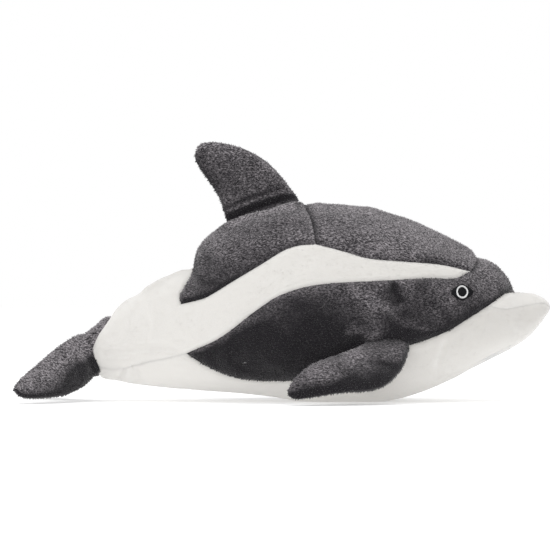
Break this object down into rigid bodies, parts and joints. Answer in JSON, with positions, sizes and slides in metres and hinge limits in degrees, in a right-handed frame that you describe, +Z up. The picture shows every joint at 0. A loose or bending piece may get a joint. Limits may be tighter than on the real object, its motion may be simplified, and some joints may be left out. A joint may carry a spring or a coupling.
{
  "type": "plush dolphin",
  "caption": "Stuffed toy dolphin lying on its belly, in dark grey and white short plush, with dorsal fin, flippers, drooping tail fluke and embroidered eyes.",
  "frame": {"origin": "centre of the bounding box in plan, on the surface the belly rests on", "axes": "+X towards the nose, +Y the animal's left, +Z up"},
  "size_m": [0.3715, 0.1982, 0.1809],
  "materials": {
    "plush_dark": "short pile plush, brushed",
    "plush_white": "short pile plush, brushed",
    "fibre": "loose fibre filling",
    "thread_black": "satin stitch embroidery",
    "thread_white": "satin stitch embroidery"
  },
  "bodies": {
    "root": {"cape": "plush_dark", "saddle_right": "plush_dark", "saddle_left": "plush_dark", "flank_right": "plush_white", "flank_left": "plush_white", "side_panel_right": "plush_dark", "side_panel_left": "plush_dark", "belly": "plush_white", "upper_beak": "plush_white", "tail_cap": "plush_dark", "body_filling": "fibre", "fin_left": "plush_dark", "fin_right": "plush_dark", "fin_filling": "fibre", "flipper_right_upper": "plush_dark", "flipper_right_lower": "plush_dark", "flipper_right_filling": "fibre", "fluke_right_upper": "plush_dark", "fluke_right_lower": "plush_dark", "fluke_right_filling": "fibre", "eye_patch_right": "thread_black", "eye_ring_right": "thread_white", "flipper_left_upper": "plush_dark", "flipper_left_lower": "plush_dark", "flipper_left_filling": "fibre", "fluke_left_upper": "plush_dark", "fluke_left_lower": "plush_dark", "fluke_left_filling": "fibre", "eye_patch_left": "thread_black", "eye_ring_left": "thread_white"}
  },
  "joints": []
}
